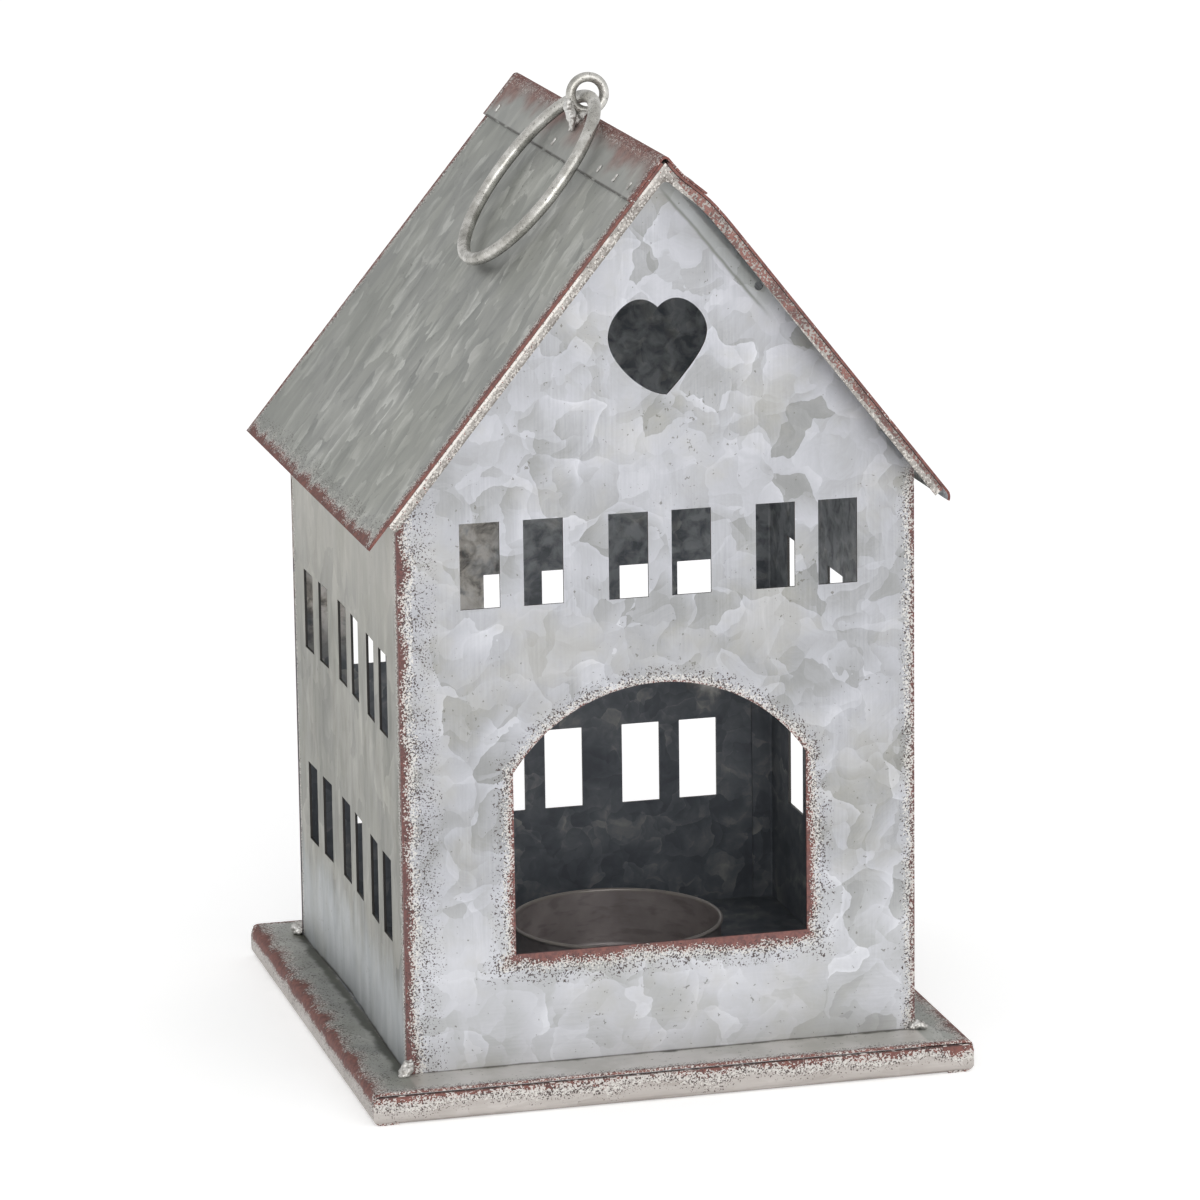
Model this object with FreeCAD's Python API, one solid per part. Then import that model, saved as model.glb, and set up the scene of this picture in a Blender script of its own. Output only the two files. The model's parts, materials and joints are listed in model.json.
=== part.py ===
"""House-shaped sheet-metal candle lantern with a swinging hanging ring. Millimetres.

Origin: centre of the base's underside. +Z is up, the arched gable wall faces -Y, and +X is to the
right seen from the front.
"""
import FreeCAD
import Part
import math
import os

os.makedirs("parts", exist_ok=True)
Vector = FreeCAD.Vector

# Sheet stock and assembly gaps
SHEET = 0.6
SEAM = 0.1
PAST = 1.0        # how far a cutter runs past what it cuts
TOUCH = 0.001     # tolerance for picking edges

# Base tray
BASE_SIDE = 141.0
BASE_HEIGHT = 7.8
BASE_BEND = 2.0
BASE_HEM = 6.0
RIM_GAP = 0.3

# Walls
WALL_WIDTH = 120.0
WALL_DEPTH = 117.0
CORNER_FLANGE = 5.6
CORNER_BEND = 1.2
SIDE_WALL_TOP = 141.3

# The left wall is bowed inward a little between two places along Y
LEFT_BOW = 1.1
LEFT_BOW_START = -42.0
LEFT_BOW_END = 56.0
LEFT_BOW_STEPS = 20

# Windows: three pairs to a row, or on the right wall three single windows
WINDOW_PITCH = 34.2
IN_PAIR_PITCH = 14.6

# Each wall's windows: width, height, how far the row is off the wall's middle, and sill heights
FRONT_WINDOWS = (9.15, 19.6, 0.45, [114.55])
BACK_WINDOWS = (9.5, 19.9, -0.95, [34.7, 74.8, 114.9])
LEFT_WINDOWS = (8.9, 19.2, 0.0, [35.5, 83.1])
RIGHT_WINDOWS = (12.2, 19.5, 2.0, [35.5, 83.4])

# Arched doorway in the front wall
ARCH_HALF_WIDTH = 34.25
ARCH_BOTTOM = 33.8
ARCH_SPRING = 76.0
ARCH_TOP = 94.7

# Heart cut-out in the front gable, leaning a little to the right
HEART_NOTCH = Vector(0.5, 0, 180.4)
HEART_TIP = Vector(2.4, 0, 160.5)
HEART_LEFT = [Vector(-5.2, 0, 182.1), Vector(-10.9, 0, 175.2), Vector(-7.6, 0, 166.6)]
HEART_RIGHT = [Vector(6.2, 0, 182.0), Vector(11.8, 0, 175.6), Vector(8.9, 0, 168.0)]

# Roof
PITCH = math.radians(50.5)
RIDGE_Z = 215.3
ROOF_DEPTH = 137.0
LEFT_SLOPE = 107.8
RIGHT_SLOPE = 101.9
RIGHT_BOW = 2.3
BOW_START = 3.6
BOW_RISE = 8.0
BOW_STEP = 3.0
RIDGE_START = 1.4
EAVE_CURL_RADIUS = 2.2
EAVE_CURL_TURN = math.radians(62)

# Ridge cap and gable edge angles
CAP_SHEET = 0.5
CAP_TOP = SEAM + CAP_SHEET
CAP_FLANGE = 12.5
CAP_OUTER_RADIUS = 1.2
CAP_INNER_RADIUS = 0.7
CAP_OVERHANG = 0.7
TRIM_FACE = 2.2
TRIM_SHEET = 0.5
TRIM_FLANGE = 6.0
TRIM_INNER_RADIUS = 1.4
TRIM_GAP = 0.15
TRIM_SETBACK = 0.2
TRIM_END = 101.0

# Gable tabs bent back under the roof: where each starts and ends down the slope
TAB_BEND = 2.4
TAB_DEPTH = 6.0
LEFT_TAB_SPANS = [(5.0, 39.0), (84.0, 92.5)]
RIGHT_TAB_SPANS = [(12.0, 39.0), (84.0, 92.5)]
TAB_RELIEF = 1.0

# Eyelet and hanging ring
EYELET_WIRE = 2.3
EYELET_HOLE = 5.6
EYELET_CENTRE = Vector(0, 0, 219.9)
RING_WIRE = 3.0
RING_RADIUS = 23.0
RING_SKEW = math.radians(10)
RING_HEIGHT = 3.2
RING_START = -2.75

# Candle cup
CUP_CENTRE_X = 4.3
CUP_RADIUS = 24.9
CUP_HEIGHT = 15.2
CUP_SHEET = 0.5
CUP_CORNER = 2.0
CUP_LIP = 0.5

LEFT, RIGHT = -1, 1
FRONT, BACK = -1, 1

wall_x = WALL_WIDTH / 2
wall_y = WALL_DEPTH / 2
base_half = BASE_SIDE / 2
roof_y = ROOF_DEPTH / 2
wall_clearance = SHEET + SEAM


def save(shape, node):
    """Write one node, after checking that each of its solids is sound."""
    for solid in shape.Solids:
        if not solid.isValid() or solid.Volume <= 0:
            raise ValueError(node + " has a bad solid")
    shape.exportStep("parts/" + node + ".step")
    print(node, "solids", len(shape.Solids), "volume", round(shape.Volume, 1))


def box(x_range, y_range, z_range):
    """Box between two values on each axis, given in either order."""
    low = Vector(min(x_range), min(y_range), min(z_range))
    high = Vector(max(x_range), max(y_range), max(z_range))
    size = high - low
    return Part.makeBox(size.x, size.y, size.z, low)


def rounded_box(x_range, y_range, z_range, radius, chosen):
    """Box with a fillet on each edge whose midpoint passes the test."""
    solid = box(x_range, y_range, z_range)
    edges = [edge for edge in solid.Edges if chosen(edge.CenterOfMass)]
    return solid.makeFillet(radius, edges)


def mirror_x(shape):
    """Mirror image across the middle YZ plane."""
    return shape.mirror(Vector(0, 0, 0), Vector(1, 0, 0))


def mirror_y(shape):
    """Mirror image across the middle XZ plane."""
    return shape.mirror(Vector(0, 0, 0), Vector(0, 1, 0))


def line(start, end):
    """Straight edge."""
    return Part.LineSegment(start, end).toShape()


def arc(start, middle, end):
    """Circular edge through three points."""
    return Part.Arc(start, middle, end).toShape()


def face_from(edges):
    """Flat face inside a closed outline."""
    return Part.Face(Part.Wire(Part.__sortEdges__(edges)))


def swept_y(face, start, end):
    """Solid made by moving a face from y = 0 to start and sweeping it to end along Y."""
    moved = face.copy()
    moved.translate(Vector(0, start, 0))
    return moved.extrude(Vector(0, end - start, 0))


def joined(shapes):
    """One solid from shapes that overlap or share faces."""
    return shapes[0].multiFuse(shapes[1:]).removeSplitter()


def largest(shape):
    """The biggest solid of a shape that a cut has left in pieces."""
    return max(shape.Solids, key=lambda solid: solid.Volume)


def blob(centre, direction, length, width):
    """Drop of weld metal: an ellipsoid with its long axis along a direction."""
    ellipse = Part.Ellipse(Vector(0, 0, 0), length / 2, width / 2)
    half = Part.Arc(ellipse, 0, math.pi).toShape()
    face = face_from([half, line(Vector(-length / 2, 0, 0), Vector(length / 2, 0, 0))])
    solid = face.revolve(Vector(0, 0, 0), Vector(1, 0, 0), 360)
    solid.Placement = FreeCAD.Placement(centre, FreeCAD.Rotation(Vector(1, 0, 0), direction))
    return solid


# ---------------------------------------------------------------- roof geometry

def right_bow(along):
    """Outward bow of the right-hand slope at a distance down from the ridge."""
    past_start = min(max(along, BOW_START), RIGHT_SLOPE) - BOW_START
    rise = 1 - math.exp(-(past_start / BOW_RISE) ** 2)
    fall = 1 - past_start / (RIGHT_SLOPE - BOW_START)
    return RIGHT_BOW * rise * fall


def slope_point(side, along, height):
    """Point at a distance down a slope from the ridge, and a height off the slope's top face."""
    if side == RIGHT:
        height += right_bow(along)
    x = side * (along * math.cos(PITCH) + height * math.sin(PITCH))
    z = RIDGE_Z - along * math.sin(PITCH) + height * math.cos(PITCH)
    return Vector(x, 0, z)


def slope_edge(side, start, end, height):
    """Edge along a slope: straight on the left, a smooth bow on the right."""
    if side == LEFT:
        return line(slope_point(side, start, height), slope_point(side, end, height))
    first = math.floor(start / BOW_STEP) + 1
    last = math.ceil(end / BOW_STEP)
    stops = [start] + [BOW_STEP * stop for stop in range(first, last)] + [end]
    curve = Part.BSplineCurve()
    curve.interpolate([slope_point(side, along, height) for along in stops])
    return curve.toShape()


def mitre(height):
    """Distance down the slope at which a surface of that height meets the middle plane."""
    return -height * math.tan(PITCH)


def slope_band(side, low, high, start, end):
    """Face between two heights off a slope, cut to the middle plane where start is None."""
    low_start = mitre(low) if start is None else start
    high_start = mitre(high) if start is None else start
    return face_from([
        slope_edge(side, low_start, end, low),
        slope_edge(side, high_start, end, high),
        line(slope_point(side, low_start, low), slope_point(side, high_start, high)),
        line(slope_point(side, end, low), slope_point(side, end, high)),
    ])


# ---------------------------------------------------------------- base

def base_deck():
    """Tray: flat deck with its left and right sides bent down and hemmed inward."""
    half = base_half
    inside = half - SHEET
    past_ends = (-half - PAST, half + PAST)
    tray = rounded_box((-half, half), (-half, half), (0, BASE_HEIGHT), BASE_BEND,
                       lambda p: abs(p.x) > half - TOUCH and abs(p.y) < TOUCH)
    hollow = rounded_box((-inside, inside), past_ends, (SHEET, BASE_HEIGHT - SHEET),
                         BASE_BEND - SHEET,
                         lambda p: abs(p.x) > inside - TOUCH and abs(p.y) < TOUCH)
    underside = box((-half + BASE_HEM, half - BASE_HEM), past_ends, (-PAST, BASE_HEIGHT / 2))
    tray = tray.cut(hollow).cut(underside)
    notch_top = BASE_HEIGHT - SHEET - RIM_GAP / 2
    for end in (FRONT, BACK):
        reach = (end * (half - SHEET - SEAM), end * (half + PAST))
        tray = tray.cut(box(past_ends, reach, (-PAST, notch_top)))
    return tray


def base_front_rim():
    """Front end strip of the tray: an upright face with rounded corners and an inward hem."""
    half = base_half
    top = BASE_HEIGHT - SHEET - RIM_GAP
    back = -half + BASE_HEM
    block = rounded_box((-half, half), (-half, back), (0, top), BASE_BEND,
                        lambda p: p.y < -half + TOUCH and p.z < TOUCH)
    hollow = rounded_box((-half - PAST, half + PAST), (-half + SHEET, back + PAST),
                         (SHEET, top + PAST), BASE_BEND - SHEET,
                         lambda p: p.y < -half + SHEET + TOUCH and p.z < SHEET + TOUCH)
    outline = rounded_box((-half, half), (-half - PAST, back + PAST), (0, top), BASE_BEND,
                          lambda p: abs(p.x) > half - TOUCH and abs(p.z - top / 2) > TOUCH)
    rim = block.cut(hollow).common(outline)
    for side in (LEFT, RIGHT):
        beside_hem = (side * (half - BASE_HEM - SEAM), side * (half + PAST))
        rim = rim.cut(box(beside_hem, (-half + SHEET, 0), (-PAST, BASE_HEIGHT)))
    return rim


# ---------------------------------------------------------------- walls

def window_boxes(windows, paired, across_x):
    """Cutters for a wall's windows, spread along X or along Y."""
    width, height, offset, sills = windows
    through = (-base_half, base_half)
    shifts = (-IN_PAIR_PITCH / 2, IN_PAIR_PITCH / 2) if paired else (0,)
    boxes = []
    for sill in sills:
        for place in (-WINDOW_PITCH, 0, WINDOW_PITCH):
            for shift in shifts:
                centre = offset + place + shift
                span = (centre - width / 2, centre + width / 2)
                rise = (sill, sill + height)
                boxes.append(box(span, through, rise) if across_x else box(through, span, rise))
    return boxes


def bowed_sheet():
    """Stretch of the left wall's sheet that is bowed inward, level with the flat sheet beyond."""
    edges = []
    for face_x in (-wall_x, -wall_x + SHEET):
        points = []
        for step in range(LEFT_BOW_STEPS + 1):
            along = step / LEFT_BOW_STEPS
            y = LEFT_BOW_START + (LEFT_BOW_END - LEFT_BOW_START) * along
            inward = LEFT_BOW * math.sin(math.pi * along) ** 2
            points.append(Vector(face_x + inward, y, BASE_HEIGHT))
        curve = Part.BSplineCurve()
        curve.interpolate(points)
        edges.append(curve.toShape())
    for y in (LEFT_BOW_START, LEFT_BOW_END):
        outside = Vector(-wall_x, y, BASE_HEIGHT)
        edges.append(line(outside, outside + Vector(SHEET, 0, 0)))
    return face_from(edges).extrude(Vector(0, 0, SIDE_WALL_TOP - BASE_HEIGHT))


def side_wall():
    """Left-hand wall without windows: a flat sheet with its upright edges bent inward."""
    ends = wall_y - SHEET
    wall = rounded_box((-wall_x, -wall_x + CORNER_FLANGE), (-ends, ends),
                       (BASE_HEIGHT, SIDE_WALL_TOP), CORNER_BEND,
                       lambda p: p.x < -wall_x + TOUCH and abs(p.y) > ends - TOUCH)
    inner_x = -wall_x + SHEET
    inner_ends = ends - SHEET
    hollow = rounded_box((inner_x, 0), (-inner_ends, inner_ends),
                         (0, SIDE_WALL_TOP + PAST), CORNER_BEND - SHEET,
                         lambda p: p.x < inner_x + TOUCH and abs(p.y) > inner_ends - TOUCH)
    wall = wall.cut(hollow)
    beside_corner = box((-wall_x - PAST, -wall_x + SHEET + PAST), (-wall_y, wall_y),
                        (0, SIDE_WALL_TOP + PAST))
    return joined([wall.common(beside_corner)] + wall.cut(beside_corner).Solids)


def left_wall():
    """Left wall, bowed inward, with two rows of paired windows."""
    flat_stretch = box((-base_half, -wall_x + SHEET + PAST), (LEFT_BOW_START, LEFT_BOW_END),
                       (0, SIDE_WALL_TOP + PAST))
    wall = joined(side_wall().cut(flat_stretch).Solids + [bowed_sheet()])
    return wall.cut(window_boxes(LEFT_WINDOWS, paired=True, across_x=False))


def right_wall():
    """Right wall, flat, with two rows of single windows."""
    windows = window_boxes(RIGHT_WINDOWS, paired=False, across_x=False)
    return mirror_x(side_wall().cut(windows))


def gable_tab(side, span):
    """Stretch of a gable's margin that turns through a bend and runs back under the roof.

    Returns the tab, and a cutter that clears the flat sheet where the bend takes its place.
    """
    start = slope_point(side, span[0], -wall_clearance)
    end = slope_point(side, span[1], -wall_clearance)
    length = (end - start).Length
    fall = math.degrees(math.atan2(start.z - end.z, abs(end.x - start.x)))
    reach = 2 * TAB_BEND
    block = rounded_box((0, length), (0, TAB_DEPTH), (-reach, 0), TAB_BEND,
                        lambda p: p.y < TOUCH and p.z > -TOUCH)
    hollow = rounded_box((-PAST, length + PAST), (SHEET, TAB_DEPTH + PAST),
                         (-reach - PAST, -SHEET), TAB_BEND - SHEET,
                         lambda p: p.y < SHEET + TOUCH and p.z > -SHEET - TOUCH)
    tab = block.cut(hollow)
    cutter = box((0, length), (-PAST, TAB_DEPTH), (-TAB_BEND, reach))
    placed = []
    for shape in (tab, cutter):
        shape.rotate(Vector(0, 0, 0), Vector(0, 1, 0), fall)
        if side == LEFT:
            shape = mirror_x(shape)
        shape.translate(start + Vector(0, -wall_y, 0))
        placed.append(shape)
    return placed


def gable_relief(side, span):
    """Round relief hole at the lower end of a tab's bend."""
    centre = slope_point(side, span[1] + TAB_RELIEF / 2, -wall_clearance - TAB_BEND)
    centre.y = -wall_y - PAST
    return Part.makeCylinder(TAB_RELIEF, SHEET + 2 * PAST, centre, Vector(0, 1, 0))


def gable_wall():
    """Front gable wall without its cut-outs: flat sheet up to the roof, with tabs bent back."""
    eave = (wall_x + wall_clearance * math.sin(PITCH)) / math.cos(PITCH)
    left_eave = slope_point(LEFT, eave, -wall_clearance)
    right_eave = slope_point(RIGHT, eave, -wall_clearance)
    bottom_left = Vector(left_eave.x, 0, BASE_HEIGHT)
    bottom_right = Vector(right_eave.x, 0, BASE_HEIGHT)
    face = face_from([
        line(bottom_left, bottom_right),
        line(bottom_right, right_eave),
        slope_edge(RIGHT, mitre(-wall_clearance), eave, -wall_clearance),
        slope_edge(LEFT, mitre(-wall_clearance), eave, -wall_clearance),
        line(left_eave, bottom_left),
    ])
    sheet = swept_y(face, -wall_y, -wall_y + SHEET)
    for side in (LEFT, RIGHT):
        beyond = (side * wall_x, side * base_half)
        sheet = sheet.cut(box(beyond, (-wall_y - PAST, 0), (0, RIDGE_Z)))
    tabs = []
    for side, spans in ((LEFT, LEFT_TAB_SPANS), (RIGHT, RIGHT_TAB_SPANS)):
        for span in spans:
            tab, cutter = gable_tab(side, span)
            sheet = sheet.cut(cutter)
            tabs.append(tab)
    wall = joined([sheet] + tabs)
    wall = wall.cut(gable_relief(LEFT, LEFT_TAB_SPANS[0]))
    return wall.cut(gable_relief(RIGHT, RIGHT_TAB_SPANS[0]))


def arch_cutter():
    """Doorway: straight sides and sill under a circular arc."""
    left = Vector(-ARCH_HALF_WIDTH, 0, ARCH_SPRING)
    right = Vector(ARCH_HALF_WIDTH, 0, ARCH_SPRING)
    sill_left = Vector(-ARCH_HALF_WIDTH, 0, ARCH_BOTTOM)
    sill_right = Vector(ARCH_HALF_WIDTH, 0, ARCH_BOTTOM)
    face = face_from([
        line(sill_left, sill_right),
        line(sill_right, right),
        arc(right, Vector(0, 0, ARCH_TOP), left),
        line(left, sill_left),
    ])
    return swept_y(face, -wall_y - PAST, -wall_y + SHEET + PAST)


def heart_cutter():
    """Heart: one smooth curve each side, from the notch round a lobe and down to the tip."""
    edges = []
    for flank in (HEART_LEFT, HEART_RIGHT):
        curve = Part.BSplineCurve()
        curve.interpolate([HEART_NOTCH] + flank + [HEART_TIP])
        edges.append(curve.toShape())
    return swept_y(face_from(edges), -wall_y - PAST, -wall_y + SHEET + PAST)


def front_wall():
    """Gable wall with the doorway, the heart and one row of windows."""
    wall = gable_wall().cut(arch_cutter()).cut(heart_cutter())
    return wall.cut(window_boxes(FRONT_WINDOWS, paired=True, across_x=True))


def back_wall():
    """Gable wall at the back with three rows of windows."""
    return mirror_y(gable_wall()).cut(window_boxes(BACK_WINDOWS, paired=True, across_x=True))


# ---------------------------------------------------------------- roof

def roof_left():
    """Left roof sheet, flat."""
    return swept_y(slope_band(LEFT, -SHEET, 0, RIDGE_START, LEFT_SLOPE), -roof_y, roof_y)


def roof_right():
    """Right roof sheet: a bowed slope whose eave edge curls down."""
    tilt = -PITCH

    def curl_point(radius, turn):
        centre = slope_point(RIGHT, RIGHT_SLOPE, -SHEET / 2 - EAVE_CURL_RADIUS)
        angle = math.pi / 2 + tilt - turn
        return centre + Vector(radius * math.cos(angle), 0, radius * math.sin(angle))

    outer = EAVE_CURL_RADIUS + SHEET / 2
    inner = EAVE_CURL_RADIUS - SHEET / 2
    edges = [
        slope_edge(RIGHT, RIDGE_START, RIGHT_SLOPE, 0),
        slope_edge(RIGHT, RIDGE_START, RIGHT_SLOPE, -SHEET),
        line(slope_point(RIGHT, RIDGE_START, -SHEET), slope_point(RIGHT, RIDGE_START, 0)),
        line(curl_point(inner, EAVE_CURL_TURN), curl_point(outer, EAVE_CURL_TURN)),
    ]
    for radius in (outer, inner):
        edges.append(arc(curl_point(radius, 0), curl_point(radius, EAVE_CURL_TURN / 2),
                         curl_point(radius, EAVE_CURL_TURN)))
    return swept_y(face_from(edges), -roof_y, roof_y)


def ridge_cap():
    """Strip bent over the ridge, covering the joint of the two roof sheets."""
    bands = []
    for side in (LEFT, RIGHT):
        band = slope_band(side, SEAM, CAP_TOP, None, CAP_FLANGE)
        bands.append(swept_y(band, -roof_y, roof_y + CAP_OVERHANG))
    cap = joined(bands)
    for height, radius in ((CAP_TOP, CAP_OUTER_RADIUS), (SEAM, CAP_INNER_RADIUS)):
        crest = slope_point(LEFT, mitre(height), height).z
        crease = []
        for edge in cap.Edges:
            middle = edge.CenterOfMass
            if edge.Length > roof_y and abs(middle.x) < TOUCH and abs(middle.z - crest) < TOUCH:
                crease.append(edge)
        cap = cap.makeFillet(radius, crease)
    return cap


def front_gable_trim():
    """Angle strip under the roof's front edge: a narrow face and a flange against the sheets."""
    top = -SHEET - TRIM_GAP
    front = -roof_y + TRIM_SETBACK
    pieces = []
    for side in (LEFT, RIGHT):
        face = slope_band(side, top - TRIM_FACE, top, None, TRIM_END)
        flange = slope_band(side, top - TRIM_SHEET, top, None, TRIM_END)
        pieces.append(swept_y(face, front, front + TRIM_SHEET))
        pieces.append(swept_y(flange, front, front + TRIM_FLANGE))
    trim = joined(pieces)
    inner_z = slope_point(LEFT, mitre(top - TRIM_FACE), top - TRIM_FACE).z
    crease = []
    for edge in trim.Edges:
        middle = edge.CenterOfMass
        if abs(middle.x) < TOUCH and abs(middle.z - inner_z) < TOUCH:
            crease.append(edge)
    return trim.makeFillet(TRIM_INNER_RADIUS, crease)


# ---------------------------------------------------------------- eyelet, ring, cup

def eyelet(cap):
    """Wire loop standing across the ridge, seated on the cap."""
    loop_radius = (EYELET_HOLE + EYELET_WIRE) / 2
    loop = Part.makeTorus(loop_radius, EYELET_WIRE / 2, EYELET_CENTRE, Vector(0, 1, 0))
    return largest(loop.cut(cap))


def eyelet_weld(cap, loop):
    """Tapered drop of weld metal from the foot of the eyelet down the cap's left face."""
    drop_start = slope_point(LEFT, -1.2, 1.2)
    drop_radius = 1.7
    drop_end_radius = 0.25
    drop_length = 7.0
    foot_centre = slope_point(LEFT, 0.6, 0.9)
    foot_length = 5.0
    foot_width = 3.0
    past_middle = 0.2
    down = slope_point(LEFT, 1, 0) - slope_point(LEFT, 0, 0)
    drop = Part.makeCone(drop_radius, drop_end_radius, drop_length, drop_start, down)
    foot = blob(foot_centre, Vector(0, 1, 0), foot_length, foot_width)
    metal = joined([drop, foot]).cut(loop).cut(cap)
    left_of_ridge = box((-base_half, past_middle), (-roof_y, roof_y), (0, RIDGE_Z + PAST))
    return largest(metal.common(left_of_ridge))


def hang_ring():
    """Closed wire ring through the eyelet, lying over the left slope."""
    passing = slope_point(LEFT, RING_START, RING_HEIGHT)
    down = slope_point(LEFT, 1, 0) - slope_point(LEFT, 0, 0)
    outward = slope_point(LEFT, 0, 1) - slope_point(LEFT, 0, 0)
    reach = down * math.cos(RING_SKEW) + Vector(0, -math.sin(RING_SKEW), 0)
    centre = passing + reach * RING_RADIUS
    return Part.makeTorus(RING_RADIUS, RING_WIRE / 2, centre, outward)


def candle_cup():
    """Shallow round cup with a rounded foot and a rolled lip, fixed to the deck."""
    foot = Vector(CUP_CENTRE_X, 0, BASE_HEIGHT)
    body = Part.makeCylinder(CUP_RADIUS, CUP_HEIGHT - CUP_LIP, foot)
    bottom = [edge for edge in body.Edges if abs(edge.CenterOfMass.z - BASE_HEIGHT) < TOUCH]
    body = body.makeFillet(CUP_CORNER, [edge for edge in bottom if edge.Closed])
    floor = foot + Vector(0, 0, CUP_SHEET)
    hollow = Part.makeCylinder(CUP_RADIUS - CUP_SHEET, CUP_HEIGHT, floor)
    bottom = [edge for edge in hollow.Edges if abs(edge.CenterOfMass.z - floor.z) < TOUCH]
    hollow = hollow.makeFillet(CUP_CORNER - CUP_SHEET, [edge for edge in bottom if edge.Closed])
    lip_centre = foot + Vector(0, 0, CUP_HEIGHT - CUP_LIP)
    lip = Part.makeTorus(CUP_RADIUS - CUP_SHEET + CUP_LIP, CUP_LIP, lip_centre, Vector(0, 0, 1))
    return joined([body.cut(hollow), lip])


# ---------------------------------------------------------------- weld metal

def corner_weld_beads():
    """Beads that tie the walls' bottom corners to the deck, one at each corner."""
    walls = box((-wall_x, wall_x), (-wall_y, wall_y), (0, SIDE_WALL_TOP))
    deck = box((-base_half, base_half), (-base_half, base_half), (0, BASE_HEIGHT))
    beads = [
        (LEFT, FRONT, Vector(1, 0.5, 1.6), 6.2, 3.0),
        (RIGHT, FRONT, Vector(1, -0.3, -0.15), 4.6, 2.4),
        (LEFT, BACK, Vector(-1, 0.3, 0.5), 4.4, 2.8),
        (RIGHT, BACK, Vector(1, 0.4, 0.4), 4.4, 2.6),
    ]
    out = 0.5
    up = 0.9
    found = []
    for side, end, direction, length, width in beads:
        centre = Vector(side * (wall_x + out), end * (wall_y + out), BASE_HEIGHT + up)
        bead = blob(centre, direction, length, width)
        found.append(largest(bead.cut(walls).cut(deck)))
    return Part.makeCompound(found)


def tack(side, along, place):
    """Small raised tack on the ridge cap: a short rounded bar lying down the slope."""
    half_length = 1.0
    half_width = 0.4
    height = 0.35
    rounding = 0.2
    bar = rounded_box((-half_length, half_length), (-half_width, half_width), (0, height), rounding,
                      lambda p: p.z > TOUCH)
    start = slope_point(side, along - half_length, CAP_TOP)
    end = slope_point(side, along + half_length, CAP_TOP)
    fall = math.degrees(math.atan2(start.z - end.z, abs(end.x - start.x)))
    bar.rotate(Vector(0, 0, 0), Vector(0, 1, 0), side * fall)
    bar.translate((start + end) / 2 + Vector(0, place, 0))
    return bar


def roof_tack_welds():
    """Spot-weld tacks on both flanges of the ridge cap."""
    down_slope = 9.6
    places = [61.0, 6.0, -36.0, -50.0, -62.0]
    return Part.makeCompound([tack(side, down_slope, place)
                              for side in (LEFT, RIGHT) for place in places])


def build():
    """Make and write every node."""
    deck = base_deck()
    front_rim = base_front_rim()
    front = front_wall()
    back = back_wall()
    left = left_wall()
    right = right_wall()
    cap = ridge_cap()
    trim = front_gable_trim()
    loop = eyelet(cap)
    nodes = {
        "base_deck": deck,
        "base_front_rim": front_rim,
        "base_back_rim": mirror_y(front_rim),
        "front_wall": front,
        "back_wall": back,
        "left_wall": left,
        "right_wall": right,
        "roof_left_sheet": roof_left(),
        "roof_right_sheet": roof_right(),
        "ridge_cap": cap,
        "front_gable_trim": trim,
        "back_gable_trim": mirror_y(trim),
        "eyelet": loop,
        "eyelet_weld": eyelet_weld(cap, loop),
        "hang_ring": hang_ring(),
        "candle_cup": candle_cup(),
        "corner_weld_beads": corner_weld_beads(),
        "roof_tack_welds": roof_tack_welds(),
    }
    for node, shape in nodes.items():
        save(shape, node)


build()
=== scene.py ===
"""Looks of the house-shaped candle lantern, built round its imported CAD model. Metres, CAD frame.

Materials are written in millimetres on the object's own coordinates, so wear follows the edges.
"""

import json
import math

import bmesh
import bpy
from mathutils import Matrix, Vector, noise


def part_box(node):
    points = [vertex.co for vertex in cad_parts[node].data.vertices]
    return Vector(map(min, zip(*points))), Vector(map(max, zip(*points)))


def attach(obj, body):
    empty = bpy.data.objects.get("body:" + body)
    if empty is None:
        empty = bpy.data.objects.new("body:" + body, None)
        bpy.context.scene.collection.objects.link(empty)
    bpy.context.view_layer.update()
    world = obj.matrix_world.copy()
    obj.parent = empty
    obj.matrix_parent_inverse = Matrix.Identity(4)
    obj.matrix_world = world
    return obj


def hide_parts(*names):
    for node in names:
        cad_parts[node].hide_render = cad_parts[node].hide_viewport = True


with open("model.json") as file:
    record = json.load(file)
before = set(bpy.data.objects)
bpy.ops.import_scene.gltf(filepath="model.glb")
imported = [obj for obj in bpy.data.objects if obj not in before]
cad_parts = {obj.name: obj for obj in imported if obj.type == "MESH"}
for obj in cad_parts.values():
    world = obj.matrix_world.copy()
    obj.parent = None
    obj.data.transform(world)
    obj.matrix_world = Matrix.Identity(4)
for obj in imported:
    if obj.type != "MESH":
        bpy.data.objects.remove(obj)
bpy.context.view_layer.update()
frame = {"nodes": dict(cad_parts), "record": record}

MM = 0.001
BODY = "lantern"
X, Y, Z = range(3)


# ---------------------------------------------------------------- sizes read from the frame

def box_mm(node):
    """Lowest and highest corner of a CAD node, in millimetres."""
    low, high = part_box(node)
    return low / MM, high / MM


front_low, front_high = box_mm("front_wall")
deck_high = box_mm("base_deck")[1]
side_high = box_mm("left_wall")[1]
roof_low, roof_high = box_mm("roof_left_sheet")
cap_low, cap_high = box_mm("ridge_cap")

# The walls' outer faces stand at plus and minus WALL_X and WALL_Y, round the origin.
WALL_X = front_high.x
WALL_Y = -front_low.y
SIDE_Y = side_high.y
SIDE_TOP = side_high.z
DECK_Z = deck_high.z
DECK_HALF = deck_high.x
RIM_TOP = box_mm("base_front_rim")[1].z
CUP_TOP = box_mm("candle_cup")[1].z

# The slopes, as in the CAD model: their top faces meet at RIDGE, over the middle.
PITCH = math.radians(50.5)
SIN = math.sin(PITCH)
COS = math.cos(PITCH)
RIDGE = 215.3
CAP_FLANGE = 12.5
ROOF_Y = roof_high.y
LEFT_SLOPE = -roof_low.x / COS
RIGHT_SLOPE = box_mm("roof_right_sheet")[1].x / COS

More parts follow.
